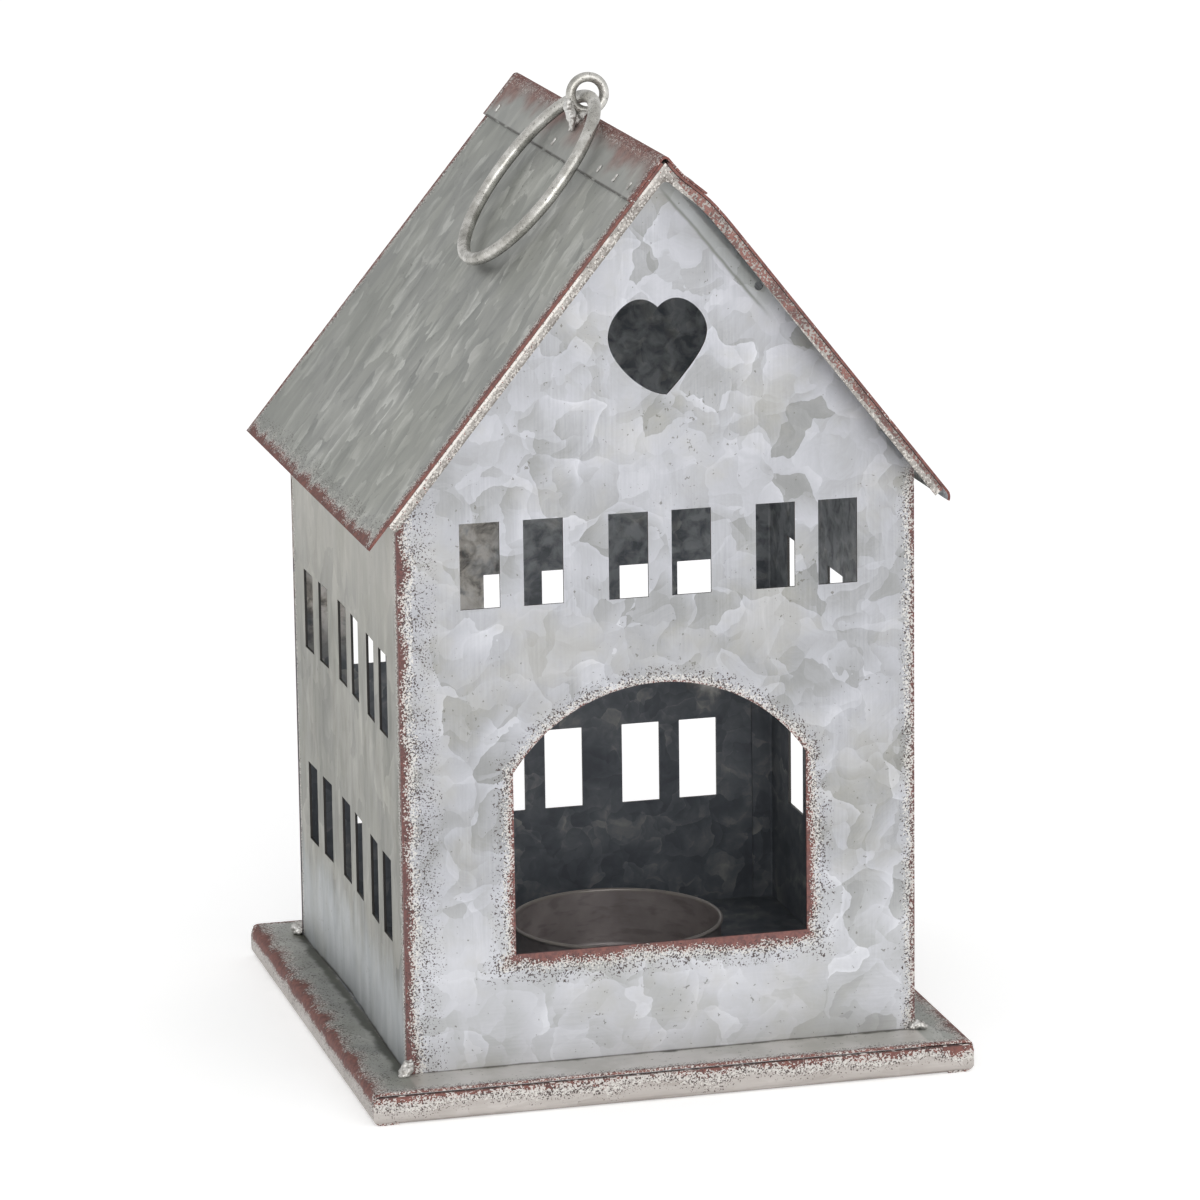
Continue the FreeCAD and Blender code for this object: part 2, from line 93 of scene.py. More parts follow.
# The doorway, from its opening in the record, which stands inside the hole by DOOR_MARGIN.
DOOR_MARGIN = 0.45
DOOR_RISE = 18.7
doorway_low, doorway_high = dict(
    (opening["name"], opening["box_m"]) for opening in frame["record"]["physics"]["openings"]
)["doorway"]
DOOR_HALF_WIDTH = doorway_high[0] / MM + DOOR_MARGIN
DOOR_SILL = doorway_low[2] / MM - DOOR_MARGIN
DOOR_SPRING = doorway_high[2] / MM + DOOR_MARGIN


# ---------------------------------------------------------------- node helpers

class Value:
    """A number that varies over a surface, with arithmetic that adds Math nodes."""

    def __init__(self, graph, socket):
        self.graph = graph
        self.socket = socket

    def __add__(self, other):
        return self.graph.math("ADD", self, other)

    def __radd__(self, other):
        return self.graph.math("ADD", other, self)

    def __sub__(self, other):
        return self.graph.math("SUBTRACT", self, other)

    def __rsub__(self, other):
        return self.graph.math("SUBTRACT", other, self)

    def __mul__(self, other):
        return self.graph.math("MULTIPLY", self, other)

    def __truediv__(self, other):
        return self.graph.math("DIVIDE", self, other)

    def __neg__(self):
        return self.graph.math("MULTIPLY", self, -1)

    def __abs__(self):
        return self.graph.math("ABSOLUTE", self)

    def above(self, edge, soft=0.001):
        """0 below the edge and 1 above it, with a soft step."""
        return self.graph.ramp(self, edge - soft, edge + soft)

    def below(self, edge, soft=0.001):
        """1 below the edge and 0 above it, with a soft step."""
        return 1 - self.above(edge, soft)


class Graph:
    """A material's node tree, with short helpers."""

    def __init__(self, name):
        self.material = bpy.data.materials.new(name)
        self.material.use_nodes = True
        self.tree = self.material.node_tree
        self.tree.nodes.clear()
        coordinates = self.tree.nodes.new("ShaderNodeTexCoord")
        scaled = self.vector("SCALE", coordinates.outputs["Object"], scale=1 / MM)
        self.place = scaled
        split = self.tree.nodes.new("ShaderNodeSeparateXYZ")
        self.tree.links.new(scaled, split.inputs[0])
        self.x = Value(self, split.outputs[0])
        self.y = Value(self, split.outputs[1])
        self.z = Value(self, split.outputs[2])
        split = self.tree.nodes.new("ShaderNodeSeparateXYZ")
        self.tree.links.new(coordinates.outputs["Normal"], split.inputs[0])
        self.normal = [Value(self, socket) for socket in split.outputs]

    def link(self, value, socket):
        """Connect a value, or set a constant."""
        if isinstance(value, Value):
            value = value.socket
        if isinstance(value, bpy.types.NodeSocket):
            self.tree.links.new(value, socket)
        else:
            socket.default_value = value

    def math(self, operation, first, second=0.0):
        """Math node on one or two values or numbers."""
        node = self.tree.nodes.new("ShaderNodeMath")
        node.operation = operation
        for value, socket in zip((first, second), node.inputs):
            self.link(value, socket)
        return Value(self, node.outputs[0])

    def least(self, *values):
        result = values[0]
        for value in values[1:]:
            result = self.math("MINIMUM", result, value)
        return result

    def most(self, *values):
        result = values[0]
        for value in values[1:]:
            result = self.math("MAXIMUM", result, value)
        return result

    def ramp(self, value, low, high, out_low=0.0, out_high=1.0):
        """Smooth step from out_low to out_high as value goes from low to high."""
        node = self.tree.nodes.new("ShaderNodeMapRange")
        node.interpolation_type = "SMOOTHSTEP"
        self.link(value, node.inputs["Value"])
        self.link(low, node.inputs["From Min"])
        self.link(high, node.inputs["From Max"])
        self.link(out_low, node.inputs["To Min"])
        self.link(out_high, node.inputs["To Max"])
        return Value(self, node.outputs["Result"])

    def vector(self, operation, first, second=None, scale=None):
        node = self.tree.nodes.new("ShaderNodeVectorMath")
        node.operation = operation
        self.link(first, node.inputs[0])
        if second is not None:
            self.link(second, node.inputs[1])
        if scale is not None:
            self.link(scale, node.inputs["Scale"])
        if operation in ("DOT_PRODUCT", "LENGTH", "DISTANCE"):
            return Value(self, node.outputs["Value"])
        return node.outputs["Vector"]

    def combine(self, x, y, z):
        node = self.tree.nodes.new("ShaderNodeCombineXYZ")
        for value, socket in zip((x, y, z), node.inputs):
            self.link(value, socket)
        return node.outputs[0]

    def noise(self, place, size, detail=2.0, rough=0.5, warp=0.0, offset=0.0):
        """Noise from about 0 to 1 with features of a size in millimetres."""
        node = self.tree.nodes.new("ShaderNodeTexNoise")
        if offset:
            place = self.vector("ADD", place, (offset, offset * 0.37, -offset * 0.61))
        self.link(place, node.inputs["Vector"])
        node.inputs["Scale"].default_value = 1.0 / size
        node.inputs["Detail"].default_value = detail
        node.inputs["Roughness"].default_value = rough
        node.inputs["Distortion"].default_value = warp
        return node

    def centred(self, colour):
        return self.vector("SUBTRACT", colour, (0.5, 0.5, 0.5))

    def cells(self, place, size):
        """Random cells: colour channels, place across the cell (about -0.5 to 0.5), heading."""
        node = self.tree.nodes.new("ShaderNodeTexVoronoi")
        node.inputs["Scale"].default_value = 1.0 / size
        self.link(place, node.inputs["Vector"])
        heading = self.vector("NORMALIZE", self.centred(node.outputs["Color"]))
        inside = self.vector("SUBTRACT", place, node.outputs["Position"])
        across = self.vector("DOT_PRODUCT", inside, heading) / size
        split = self.tree.nodes.new("ShaderNodeSeparateColor")
        self.link(node.outputs["Color"], split.inputs[0])
        return [Value(self, socket) for socket in split.outputs], across, heading

    def cell_rim(self, place, size):
        """Distance to the nearest border between the same cells, as a share of their size."""
        node = self.tree.nodes.new("ShaderNodeTexVoronoi")
        node.feature = "DISTANCE_TO_EDGE"
        node.inputs["Scale"].default_value = 1.0 / size
        self.link(place, node.inputs["Vector"])
        return Value(self, node.outputs["Distance"])

    def noise_value(self, place, size, **settings):
        return Value(self, self.noise(place, size, **settings).outputs[0])

    def stretched(self, along, factor):
        """The place with one axis (X, Y or Z) squeezed, so that textures stretch along it."""
        scale = [1.0, 1.0, 1.0]
        scale[along] = 1.0 / factor
        return self.vector("MULTIPLY", self.place, tuple(scale))

    def mix(self, factor, first, second, blend="MIX"):
        node = self.tree.nodes.new("ShaderNodeMix")
        node.data_type = "RGBA"
        node.blend_type = blend
        self.link(factor, node.inputs[0])
        self.link(first, node.inputs[6])
        self.link(second, node.inputs[7])
        return node.outputs[2]

    def colours(self, value, stops):
        """Colour ramp over a value; stops are (position, colour)."""
        node = self.tree.nodes.new("ShaderNodeValToRGB")
        ramp = node.color_ramp
        while len(ramp.elements) < len(stops):
            ramp.elements.new(0.5)
        for element, (position, colour) in zip(ramp.elements, stops):
            element.position = position
            element.color = colour
        self.link(value, node.inputs[0])
        return node.outputs[0]

    def bump(self, height, distance, strength):
        """Normal of a surface raised by height times distance, in metres."""
        node = self.tree.nodes.new("ShaderNodeBump")
        node.inputs["Distance"].default_value = distance
        node.inputs["Strength"].default_value = strength
        self.link(height, node.inputs["Height"])
        return node.outputs[0]

    def finish(self, colour, metallic, roughness, normal=None, glow=0.0):
        shader = self.tree.nodes.new("ShaderNodeBsdfPrincipled")
        self.link(colour, shader.inputs["Base Color"])
        self.link(metallic, shader.inputs["Metallic"])
        self.link(roughness, shader.inputs["Roughness"])
        if normal is not None:
            self.link(normal, shader.inputs["Normal"])
        if glow:
            shader.inputs["Emission Color"].default_value = (1, 1, 1, 1)
            shader.inputs["Emission Strength"].default_value = glow
        output = self.tree.nodes.new("ShaderNodeOutputMaterial")
        self.tree.links.new(shader.outputs[0], output.inputs[0])
        return self.material


def tone(red, green, blue):
    """Display colour, 0 to 255, as the linear colour that a shader takes."""
    def linear(value):
        value = value / 255
        return value / 12.92 if value <= 0.04045 else ((value + 0.055) / 1.055) ** 2.4
    return (linear(red), linear(green), linear(blue), 1.0)


# ---------------------------------------------------------------- galvanised sheet

BROWN = tone(121, 71, 62)
BROWN_DEEP = tone(88, 50, 46)
SPECK_LIGHT = tone(206, 203, 198)
SPECK_DARK = tone(62, 48, 46)
INSIDE_LOW_TONE = tone(96, 100, 107)
CUT_EDGE = tone(66, 61, 58)
CRYSTAL_LEVEL = 0.62


def crystal_layer(g, place, size, weight):
    """One size of crystals: how much they add, how bright their rims are, and their heading."""
    colour, across, heading = g.cells(place, size)
    fade = g.ramp(across, -0.5, 0.45)
    depth = g.ramp(colour[0], 0.1, 1.0, 0.2, 1.0)
    added = (fade - CRYSTAL_LEVEL) * depth * weight + (colour[1] - 0.5) * weight * 0.4
    return added, fade * colour[2], heading


def crystals(g, place, size, seed):
    """Zinc crystals: how bright each point of a sheet is, mostly from 0.3 to 0.8.

    Each crystal fades from a dim side to a bright one in a direction of its own, and has a
    narrow bright rim. Smaller crystals and broad clouds lie over them.
    """
    place = g.vector("ADD", place, (seed * 31.7, seed * 17.3, seed * 23.9))
    broad = g.centred(g.noise(place, size * 1.1, detail=1.5).outputs["Color"])
    fine = g.centred(g.noise(place, size * 0.3, detail=2).outputs["Color"])
    warped = g.vector("ADD", place, g.vector("SCALE", broad, scale=size * 1.1))
    warped = g.vector("ADD", warped, g.vector("SCALE", fine, scale=size * 0.2))
    large, rim_glow, heading = crystal_layer(g, warped, size, 0.36)
    small = crystal_layer(g, warped, size * 0.55, 0.22)[0]
    rim = g.cell_rim(warped, size).below(0.05, 0.035)
    grain = g.vector("CROSS_PRODUCT", warped, heading)
    grain = g.noise_value(grain, 0.7, detail=3, rough=0.6)
    cloud = g.noise_value(place, size * 2.6, detail=4, rough=0.6, offset=7)
    level = CRYSTAL_LEVEL + large + small + rim * rim_glow * 0.08
    return level + (grain - 0.5) * 0.14 + (cloud - 0.5) * 0.40


def wear(g, distance, width, reach, seed, soft=0.15, specks=1.0):
    """Worn edge: bare red-brown within a width of it, with light and dark specks beyond.

    Distances are in millimetres. Light specks keep close to the brown's edge and dark ones go
    out over the reach. Returns the masks of brown, light and dark.
    """
    broad = g.noise_value(g.place, 8.0, detail=2, offset=seed)
    fine = g.noise_value(g.place, 0.9, detail=2, rough=0.65, offset=seed + 3)
    edge = distance - width - (broad - 0.5) * width * 2.2 - (fine - 0.5) * (1.5 + soft)
    brown = edge.below(0, soft)
    light = g.noise_value(g.place, 0.42, detail=1.5, rough=0.5, warp=0.5, offset=seed + 11)
    dark = g.noise_value(g.place, 0.42, detail=1.5, rough=0.5, warp=0.5, offset=seed + 23)
    near = 1 - g.ramp(g.most(edge, edge * -1.1), 0.3, 2.1)
    group = g.noise_value(g.place, 5, detail=2, offset=seed + 31).above(0.5, 0.12)
    around = 1 - g.ramp(g.most(edge, edge * -2.2), 0.0, reach)
    light_mask = (light + near * 0.13 * specks).above(0.635, 0.015) * near.above(0.1, 0.08)
    crowd = around * (group * 0.09 + 0.04) + near * 0.05
    dark_mask = (dark + crowd * specks).above(0.655, 0.015) * around.above(0.05, 0.04)
    return brown, light_mask, dark_mask


def worn(g, colour, masks, deep=0.0):
    """Colour with worn brown and specks laid over it. deep makes more of the brown dark."""
    brown, light, dark = masks
    patch = g.noise_value(g.place, 1.4, detail=4, rough=0.7, offset=41).above(0.5 + deep, 0.14)
    rust = g.mix(patch, BROWN_DEEP, BROWN)
    colour = g.mix(brown * 0.95, colour, rust)
    colour = g.mix(dark * 0.9, colour, SPECK_DARK)
    return g.mix(light * 0.8, colour, SPECK_LIGHT)


def nicks(g, colour, seed, share=0.72):
    """Small dark dents and scratches over a sheet."""
    small = g.noise_value(g.place, 1.1, detail=2, rough=0.6, offset=seed)
    group = g.noise_value(g.place, 17, detail=2, offset=seed + 5)
    mask = (small + (group - 0.5) * 0.25).above(share, 0.02)
    tilted = g.vector("MULTIPLY", g.place, (1.0, 1.0, 0.16))
    scratch = g.noise_value(tilted, 0.55, detail=1, offset=seed + 9)
    scratch = scratch + (group - 0.5) * 0.3
    colour = g.mix(scratch.above(0.84, 0.02) * 0.45, colour, tone(104, 102, 96))
    return g.mix(mask * 0.65, colour, tone(98, 96, 88))


def sheet_finish(g, colour, level, brown, outside, roughness=0.42, metallic=0.6):
    """Shader for zinc sheet: crystals vary its gloss, worn brown and the inside are duller."""
    gloss = roughness + (level - 0.5) * 0.14 + brown * 0.25
    metal = (metallic - brown * metallic * 0.9) * (outside * 0.75 + 0.25)
    fine = g.noise_value(g.place, 0.45, detail=2, offset=57)
    dents = g.noise_value(g.place, 14, detail=1, offset=61)
    height = level * 0.25 + fine * 0.1 - brown * 0.4 + dents * 2.2
    return g.finish(colour, metal, gloss, g.bump(height, 0.00012, 0.7))


ZINC = [
    (0.00, tone(134, 135, 134)),
    (0.28, tone(156, 157, 157)),
    (0.46, tone(172, 173, 176)),
    (0.62, tone(183, 184, 189)),
    (0.80, tone(195, 196, 201)),
    (1.00, tone(208, 209, 214)),
]
DULL = [
    (0.00, tone(118, 119, 115)),
    (0.30, tone(143, 145, 141)),
    (0.55, tone(158, 159, 155)),
    (0.75, tone(172, 173, 168)),
    (1.00, tone(198, 198, 194)),
]
SIDE = [
    (0.00, tone(126, 126, 120)),
    (0.35, tone(154, 154, 148)),
    (0.65, tone(171, 170, 164)),
    (1.00, tone(192, 191, 185)),
]
RIM = [
    (0.00, tone(146, 140, 134)),
    (0.40, tone(174, 168, 163)),
    (0.70, tone(188, 183, 179)),
    (1.00, tone(208, 204, 200)),
]
INSIDE = [
    (0.0, tone(78, 82, 88)),
    (0.35, tone(108, 113, 119)),
    (0.6, tone(134, 138, 142)),
    (0.8, tone(168, 169, 168)),
    (1.0, tone(206, 204, 198)),
]


# Pale smear on the back wall's inner face, right of the middle.
SMEAR_CENTRE = (43, 58, 68)
SMEAR_SCALE = (0.16, 0.10, 0.09)
INSIDE_DARK_TOP = 120


def inside_colour(g, seed):
    """Inner faces: dark zinc, darker low, paler and mottled above, painted light high on the left.
    """
    level = crystals(g, g.place, 7, seed)
    cloud = g.noise_value(g.place, 9, detail=4, rough=0.6, warp=0.6, offset=seed + 71)
    level = (level - 0.6) * 1.5 + 0.5 + (cloud - 0.5) * 1.3
    # Darker towards the bottom.
    darker_low = g.ramp(g.z, INSIDE_DARK_TOP - 70, INSIDE_DARK_TOP, 0.55, 0.1)
    colour = g.mix(darker_low, g.colours(level, INSIDE), INSIDE_LOW_TONE)
    inside_pattern = g.noise_value(g.place, 4, detail=4, rough=0.6, warp=0.5, offset=seed + 83)
    # Paler and mottled higher up.
    paler_above = g.colours(inside_pattern, [(0.38, tone(112, 116, 121)), (0.60, tone(212, 216, 220))])
    colour = g.mix(g.z.above(88, 14) * 0.5, colour, paler_above)
    # Painted light: pale patches high up on the left side.
    pale = g.x.below(-8, 6) * g.z.above(82, 8) * (cloud + 0.2).above(0.60, 0.10)
    from_smear = g.vector("SUBTRACT", g.place, SMEAR_CENTRE)
    from_smear = g.vector("LENGTH", g.vector("MULTIPLY", from_smear, SMEAR_SCALE))
    smear = (from_smear + (cloud - 0.5) * 1.6).below(0.75, 0.25)
    pale = g.most(pale, smear * 0.8)
    mottled = g.colours(inside_pattern, [(0.34, tone(136, 130, 124)), (0.46, tone(214, 208, 199)),
                                 (0.60, tone(250, 246, 240))])
    # Painted light and the pale smear, laid on in mottled pale colours.
    return g.mix(pale * 0.95, colour, mottled)


def arch_distance(g):
    """Distance outside the doorway: straight sides and sill under an arc."""
    radius = (DOOR_HALF_WIDTH ** 2 + DOOR_RISE ** 2) / (2 * DOOR_RISE)
    height = g.z - (DOOR_SPRING + DOOR_RISE - radius)
    from_arc = g.math("SQRT", g.x * g.x + height * height) - radius
    return g.most(abs(g.x) - DOOR_HALF_WIDTH, DOOR_SILL - g.z,
                  g.least(g.z - DOOR_SPRING, from_arc))


def brush_lines(g, along, seed):
    """Fine drawn lines along an axis, strong in some patches and faint in others."""
    lines = g.noise_value(g.stretched(along, 22), 0.55, detail=3, rough=0.6, offset=seed)
    patch = g.noise_value(g.place, 13, detail=2, offset=seed + 3).above(0.5, 0.12)
    return (lines - 0.5) * (patch * 0.8 + 0.2) + 0.5


# Heights at which a gable's finish and its painted shade and light change.
DRAWN_ACROSS_TOP = 26
PALE_FOOT_TOP = 44
DIM_START = 60
FOLD_BOTTOM = 179


def gable_sheet(g, level):
    """Gable zinc: crystals under drawn lines, painted shade midway up, painted light at the foot.
    """
    contrast = g.ramp(g.x, 5, 42, 1.2, 1.5)
    colour = g.colours((level - CRYSTAL_LEVEL) * contrast + 0.61, ZINC)
    drawn_across = g.z.below(DRAWN_ACROSS_TOP, 8)
    lines = g.mix(drawn_across, brush_lines(g, Z, 5), brush_lines(g, X, 8))
    lines = g.colours(lines, [(0.32, tone(88, 88, 88)), (0.68, tone(168, 168, 168))])
    colour = g.mix(0.42, colour, lines, "SOFT_LIGHT")
    # Painted shade: dimmer through the middle heights.
    middle = g.z.above(DIM_START, 14) * g.ramp(g.z, 120, 160, 0.20, 0.09)
    colour = g.mix(middle, colour, tone(140, 141, 143))
    # Painted light: paler at the foot.
    colour = g.mix(g.z.below(PALE_FOOT_TOP, 10) * 0.25, colour, tone(216, 217, 219))
    warm = g.noise_value(g.place, 22, detail=5, rough=0.65, offset=19).above(0.57, 0.1)
    return g.mix(warm * 0.28, colour, tone(166, 163, 150))


def gable_shade_and_foot(g, colour, above_slope):
    """Painted shade under the left slope, on the right fold and in the deck seam; a darker foot.
    """
    ragged = g.noise_value(g.place, 7, detail=3, offset=33)
    right = g.x.above(2, 2)
    shade = (above_slope + (ragged - 0.5) * 4).above(-3.6, 1.6) * (1 - right)
    colour = g.mix(shade * 0.4, colour, tone(140, 141, 132))
    edge = above_slope + (ragged - 0.5) * 0.8
    # Painted shade on the fold under the right slope, with a darker groove along its edge.
    fold = edge.above(-4.5, 0.4) * right * g.z.above(FOLD_BOTTOM, 4)
    colour = g.mix(fold * 0.5, colour, tone(164, 168, 165))
    groove = fold * edge.below(-3.9, 0.3)
    colour = g.mix(groove * 0.8, colour, tone(112, 114, 108))
    # Darker towards the foot.
    foot = (g.z + (ragged - 0.5) * 9).below(DECK_Z + 3, 3)
    colour = g.mix(foot * 0.15, colour, tone(144, 142, 134))
    # Painted shade in the seam where the wall meets the deck.
    seam = (g.z + (ragged - 0.5) * 0.4).below(DECK_Z + 0.25, 0.15)
    return g.mix(seam * 0.7, colour, tone(70, 66, 58))


def gable_wear(g, colour, from_side, from_door):
    """Worn upright edges and doorway. Returns the colour and the mask of brown."""
    left = g.x.below(0, 1)
    masks = wear(g, from_side, left * 1.2 + 1.0, left * 5 + 3, 60)
    under_eaves = g.z.below(SIDE_TOP - 1, 4)
    masks = tuple(mask * under_eaves for mask in masks)
    colour = worn(g, colour, masks, deep=0.10)
    brown = masks[0]
    if from_door is not None:
        sill = g.z.below(DOOR_SILL, 0.8)
        jamb = g.z.below(DOOR_SPRING, 8)
        width = sill * 1.2 + jamb * g.ramp(g.x, -20, 20, 0.8, 1.2) + 0.45
        reach = g.ramp(g.z, DOOR_SILL, DOOR_SPRING, 5.5, 4.2)
        door_masks = wear(g, from_door, width, reach, 80, specks=1.05)
        colour = worn(g, colour, door_masks)
        brown = g.most(brown, door_masks[0])
    return colour, brown


def gable_material(name, outward, doorway):
    """Front or back gable sheet. outward is -1 for the front wall and 1 for the back."""
    g = Graph(name)
    level = crystals(g, g.place, 12, 1 if doorway else 4)
    above_slope = abs(g.x) * SIN + (g.z - RIDGE) * COS
    from_side = WALL_X - abs(g.x)
    from_door = arch_distance(g) if doorway else None
    outer = nicks(g, gable_shade_and_foot(g, gable_sheet(g, level), above_slope), 29)
    outer, brown = gable_wear(g, outer, from_side, from_door)

    past_wall = g.y * outward - WALL_Y
    facing = (g.normal[Y] * outward).above(0.3, 0.2)
    on_bend = g.normal[Z].above(0.25, 0.1) * g.z.above(SIDE_TOP, 1) * past_wall.below(-0.05, 0.05)
    outside = g.most(facing, on_bend * above_slope.above(-4, 0.5))
    facing_in = (g.normal[Y] * outward).below(-0.3, 0.2)
    under_bend = g.normal[Z].below(-0.25, 0.1) * above_slope.above(-6, 0.5)
    cut = g.mix(from_side.below(0.08, 0.05), CUT_EDGE, BROWN_DEEP)
    if doorway:
        cut = g.mix(from_door.below(0.06, 0.05), cut, BROWN_DEEP)
    inner = g.mix(g.most(facing_in, under_bend), cut, inside_colour(g, 2))
    colour = g.mix(outside, inner, outer)
    return sheet_finish(g, colour, level, brown * outside, outside)


def side_material(name):
    """Side walls: duller sheet with soft upright blotches and a bluish foot."""
    g = Graph(name)
    level = crystals(g, g.stretched(Z, 1.8), 11, 6)
    outer = g.colours(level * 1.35 - 0.27, SIDE)
    streak = g.noise_value(g.stretched(Z, 4), 4.5, detail=5, rough=0.6, warp=0.4, offset=5)
    outer = g.mix(0.95, outer, g.colours(streak, [(0.3, tone(88, 88, 88)),
                                                  (0.7, tone(164, 164, 164))]), "SOFT_LIGHT")
    ragged = g.noise_value(g.stretched(Z, 3), 6, detail=3, offset=3)
    foot = (g.z + (ragged - 0.5) * 24).below(DECK_Z + 20, 8)
    blue = g.colours(streak, [(0.32, tone(174, 180, 185)), (0.66, tone(192, 197, 202))])
    outer = g.mix(foot * 0.62, outer, blue)
    outer = g.mix(g.z.above(108, 18) * 0.4, outer, tone(194, 191, 184))
    dirt = g.noise_value(g.place, 16, detail=5, rough=0.65, offset=31).above(0.56, 0.12)
    outer = g.mix(dirt * 0.25, outer, tone(134, 134, 120))
    outer = nicks(g, outer, 49, 0.73)
    corner = SIDE_Y - abs(g.y)
    masks = wear(g, corner - 0.7, 0.35, 2.4, 70, specks=0.9)
    outer = worn(g, outer, masks)
    # Painted shade: dark strips at the corner joints and along the foot, where the wall meets the
    # gables and the deck.
    gap = g.most(corner.below(0.7, 0.15), (g.z + (ragged - 0.5) * 1.5).below(DECK_Z + 0.5, 0.4))
    outer = g.mix(gap * 0.85, outer, tone(52, 46, 42))
    outward = g.normal[X] * g.math("SIGN", g.x)
    outside = outward.above(0.2, 0.15)
    sheet_edge = abs(g.normal[X]).below(0.3, 0.1) * abs(g.y).below(WALL_Y - 3, 0.5)
    inner = g.mix(sheet_edge, inside_colour(g, 3), tone(46, 44, 42))
    return sheet_finish(g, g.mix(outside, inner, outer), level, masks[0] * outside, outside,
                        roughness=0.46)


def slope_frame(g):
    """Distance down the slope from the ridge, and the place in slope axes."""
    down = abs(g.x) * COS - (g.z - RIDGE) * SIN
    above = abs(g.x) * SIN + (g.z - RIDGE) * COS
    return down, g.combine(down, g.y, above)


def roof_material(name, side):
    """Roof sheet: grey-green, with soft facets and glints that run down the slope."""
    g = Graph(name)
    down, place = slope_frame(g)
    skew = g.vector("ADD", g.vector("MULTIPLY", place, (0.55, 1, 1)), g.combine(0, down * 0.12, 0))
    level = crystals(g, skew, 8, 8 + side)
    outer = g.colours(level * 1.25 - 0.2, DULL)
    drift = g.vector("SCALE", g.centred(g.noise(skew, 5, detail=3).outputs["Color"]), scale=5)
    colour, across, _ = g.cells(g.vector("ADD", skew, drift), 5.5)
    sparkle = g.noise_value(skew, 0.7, detail=3, rough=0.7, offset=13)
    group = g.noise_value(place, 15, detail=2, offset=15)
    glint = g.ramp(across, 0.0, 0.5) * colour[2].above(0.5, 0.1) * (sparkle * 1.6 - 0.1)
    outer = g.mix(glint * (group * 1.4 + 0.1) * 0.9, outer, tone(214, 215, 210))
    dim = g.ramp(across, -0.05, -0.5) * colour[1].above(0.5, 0.15)
    outer = g.mix(dim * 0.24, outer, tone(124, 127, 126))
    tint = g.noise_value(place, 26, detail=3, offset=25)
    outer = g.mix(tint.above(0.52, 0.1) * 0.22, outer, tone(152, 155, 142))
    outer = g.mix(g.ramp(g.y, -20, 60, 0.04, 0.26), outer, tone(120, 122, 118))
    outer = nicks(g, outer, 39, 0.73)
    eave = (LEFT_SLOPE if side < 0 else RIGHT_SLOPE) - down
    rake = ROOF_Y - abs(g.y)
    front = g.y.below(0, 5)
    eave_masks = wear(g, eave, 2.6, 5.0, 90, soft=0.7, specks=0.7)
    rake_masks = wear(g, rake, front * 0.3 + 1.8, 2.2, 95, soft=0.4, specks=0.8)
    outer = worn(g, worn(g, outer, eave_masks), rake_masks)
    brown = g.most(eave_masks[0], rake_masks[0])
    upward = g.normal[Z] * COS + g.normal[X] * side * SIN
    outside = upward.above(-0.3, 0.15)
    colour = g.mix(outside, inside_colour(g, 5), outer)
    return sheet_finish(g, colour, level, brown * outside, outside, roughness=0.44)


def cap_material(name):
    """Ridge cap: like the roof, with the crease and ends softly worn red-brown."""
    g = Graph(name)
    down, place = slope_frame(g)
    level = crystals(g, g.vector("MULTIPLY", place, (0.6, 1, 1)), 7, 12)
    outer = g.colours(level * 0.7 + 0.14, DULL)
    edge = g.noise_value(g.stretched(Y, 3), 1.4, detail=2, offset=81)
    # Painted shade: a broken dark strip along the lower edge of the flanges, where they lie on the
    # roof.
    hem = (CAP_FLANGE - down).below(0.45, 0.2)
    outer = g.mix(hem * edge.above(0.40, 0.1) * 0.85, outer, tone(64, 60, 56))
    toward_end = g.least(cap_high.y - g.y, g.y - cap_low.y)
    patch = g.noise_value(g.place, 13, detail=3, offset=17)
    fine = g.noise_value(g.place, 1.6, detail=4, rough=0.7, offset=19)
    width = g.ramp(patch, 0.32, 0.72, 0.5, 7.0) + g.ramp(toward_end, 0, 16, 4.5, 0)
    dark_band = g.ramp(down + (fine - 0.5) * 3, width - 4.5, width + 5.5, 1.0, 0.0)
    mauve = g.mix(fine.above(0.5, 0.15), tone(112, 68, 60), tone(140, 98, 88))
    outer = g.mix(dark_band * 0.85, outer, mauve)
    crease = wear(g, down, 1.2, 3.0, 100, soft=1.4, specks=0.25)
    end_masks = wear(g, toward_end, 1.4, 3.0, 105, soft=0.5, specks=0.7)
    outer = worn(g, worn(g, outer, crease), end_masks)
    brown = g.most(crease[0], end_masks[0])
    return sheet_finish(g, outer, level, g.most(brown, dark_band * 0.6), 1.0, roughness=0.44)


